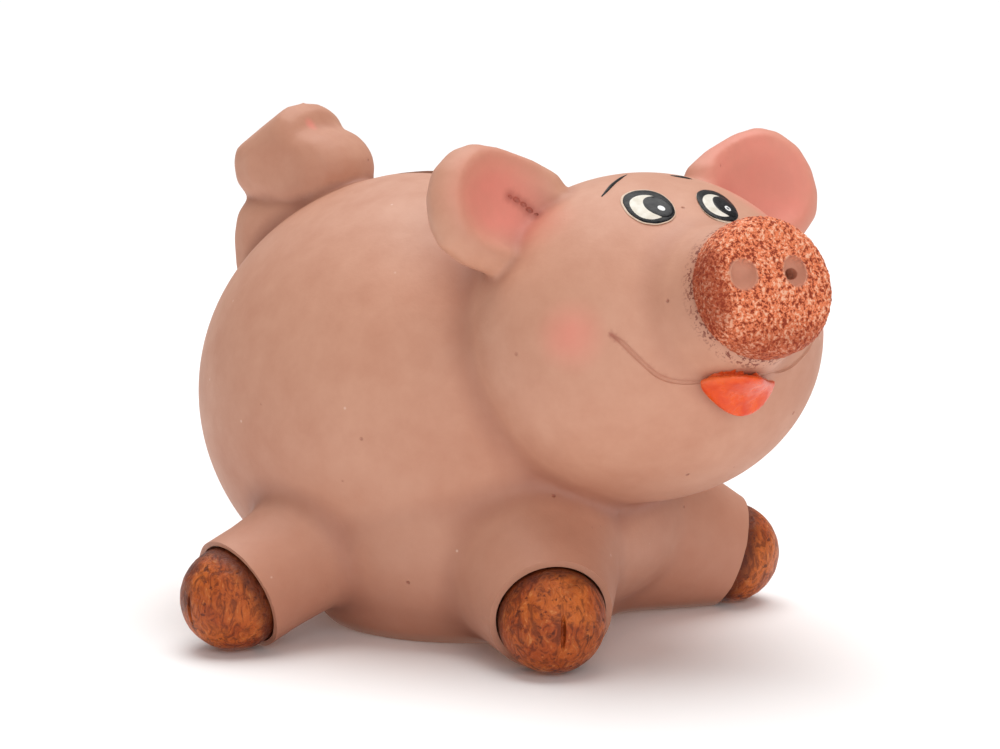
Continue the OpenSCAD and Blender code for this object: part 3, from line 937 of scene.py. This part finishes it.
def antiquedBrown():
    paint, tree, shader = newPaint("antiquedBrown", 0.5, shine=0.28)
    where, masks = placeOf(tree), brushed(tree)
    drawnOut = put(tree, "Mapping", {"Vector": where, "Rotation": stainLook["streakTurn"],
                                     "Scale": stainLook["streakScale"]}).outputs[0]
    streak = noiseOf(tree, drawnOut, 520, 5, 0.65, 1.8)
    speck = noiseOf(tree, where, 700, 3, 0.6)
    blotch = noiseOf(tree, where, 150, 4, 0.55, 0.6)
    shade = noiseOf(tree, where, 95, 3, 0.5)
    colour = blendColour(tree, level(tree, blotch, 0.38, 0.62), stainLook["rust"], stainLook["tan"])
    for share, tint in ((level(tree, streak, 0.52, 0.40, 0, 0.62), "umber"),
                        (level(tree, streak, 0.58, 0.68, 0, 0.55), "pale"),
                        (level(tree, speck, 0.40, 0.33, 0, 0.8), "umber"),
                        (level(tree, shade, 0.60, 0.70, 0, 0.7), "umber"),
                        (times(tree, masks[0], 0.8), "umber")):
        colour = blendColour(tree, share, colour, stainLook[tint])
    tree.links.new(colour, shader.inputs["Base Color"])
    tree.links.new(level(tree, streak, 0.3, 0.7, 0.5, 0.36), shader.inputs["Roughness"])
    relief(tree, shader, sums(tree, "ADD", streak, speck), stainLook["depth"])
    return paint


tongueLook = {"bright": rgb(232, 84, 16), "deep": rgb(216, 62, 10), "edge": rgb(236, 120, 66),
              "depth": 0.0004}


def orangeEnamel():
    paint, tree, shader = newPaint("orangeEnamel", 0.3, shine=0.35, coat=0.12)
    shader.inputs["Coat Roughness"].default_value = 0.12
    masks = brushed(tree)
    ripple = noiseOf(tree, placeOf(tree), 420, 3, 0.5)
    colour = blendColour(tree, level(tree, ripple, 0.35, 0.65), tongueLook["bright"], tongueLook["deep"])
    colour = blendColour(tree, times(tree, masks[0], 0.5), colour, tongueLook["edge"])
    tree.links.new(colour, shader.inputs["Base Color"])
    tree.links.new(level(tree, ripple, 0.3, 0.7, 0.24, 0.36), shader.inputs["Roughness"])
    relief(tree, shader, ripple, tongueLook["depth"])
    return paint


def enamel(name, first, second, rough, scale):
    paint, tree, shader = newPaint(name, rough, shine=0.2)
    flow = noiseOf(tree, placeOf(tree), scale, 3, 0.5)
    tree.links.new(blendColour(tree, level(tree, flow, 0.35, 0.65), first, second),
                   shader.inputs["Base Color"])
    tree.links.new(level(tree, flow, 0.3, 0.7, rough * 0.8, rough * 1.3), shader.inputs["Roughness"])
    relief(tree, shader, flow, 0.00015)
    return paint


rubberLook = {"light": rgb(212, 205, 188), "dusty": rgb(186, 178, 160), "depth": 0.0001}


def stopperRubber():
    paint, tree, shader = newPaint("stopperRubber", 0.5)
    where = placeOf(tree)
    dust = noiseOf(tree, where, 260, 6, 0.65)
    tooth = noiseOf(tree, where, 2600, 2, 0.5)
    colour = blendColour(tree, level(tree, dust, 0.4, 0.7), rubberLook["light"], rubberLook["dusty"])
    tree.links.new(colour, shader.inputs["Base Color"])
    tree.links.new(level(tree, dust, 0.3, 0.7, 0.42, 0.62), shader.inputs["Roughness"])
    relief(tree, shader, sums(tree, "ADD", tooth, times(tree, dust, 0.6)), rubberLook["depth"])
    return paint


enamels = {
    "halo": enamel("paleEnamel", rgb(226, 204, 184), rgb(206, 176, 152), 0.4, 500),
    "line": enamel("blackEnamel", rgb(6, 6, 7), rgb(20, 18, 20), 0.35, 900),
    "white": enamel("creamEnamel", rgb(236, 232, 222), rgb(214, 206, 190), 0.28, 500),
    "pupil": enamel("pupilEnamel", rgb(8, 8, 10), rgb(26, 26, 30), 0.3, 700),
    # the painted highlight on the pupils: white, with a grey middle
    "shine": enamel("paintedGlintWhite", rgb(250, 250, 248), rgb(224, 226, 226), 0.3, 1400),
    "spot": enamel("paintedGlintGrey", rgb(120, 122, 126), rgb(92, 94, 98), 0.3, 1400),
}
clayPaint, hoofPaint = pinkClay(), antiquedBrown()

for piece in skin.values():
    strokes(piece, creaseShadeAndWash, rose, inked)
stray = skin["head_shell"].data.attributes.new("stray", "FLOAT", "POINT")
stray.data.foreach_set("value", dotted(spotsOf(skin["head_shell"])))
for name, piece in hooves.items():
    strokes(piece, hoofEdge(legs[name]))
strokes(snout, snoutRim, nostrilDents)
strokes(tongue, tongueEdge)
print("stage: paints mixed")


def finish(piece, body, slot, paint, *nodes):     # smooths the piece and says what it rides on and stands for
    piece.data.materials.clear()
    piece.data.materials.append(paint)
    only(piece)
    bpy.ops.object.shade_smooth_by_angle(angle=math.radians(35))
    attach(piece, body)
    if nodes:
        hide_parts(*nodes)


for node, piece in skin.items():
    finish(piece, "pig", "ear" if node.startswith("ear") else "skin", clayPaint, node)
for name, piece in hooves.items():
    finish(piece, "pig", "hoof", hoofPaint, "hoof_" + name)
finish(snout, "pig", "snout", spongedSnout(), "snout")
finish(tongue, "pig", "tongue", orangeEnamel(), "tongue")
finish(stopper, "stopper", "stopper", stopperRubber(), "stopper")
for side, layers in eyeLayers.items():
    for layer, piece in layers.items():
        finish(piece, "pig", "skin", enamels[layer])
for piece in browPieces:
    finish(piece, "pig", "skin", enamels["line"])
print("stage: pieces finished")
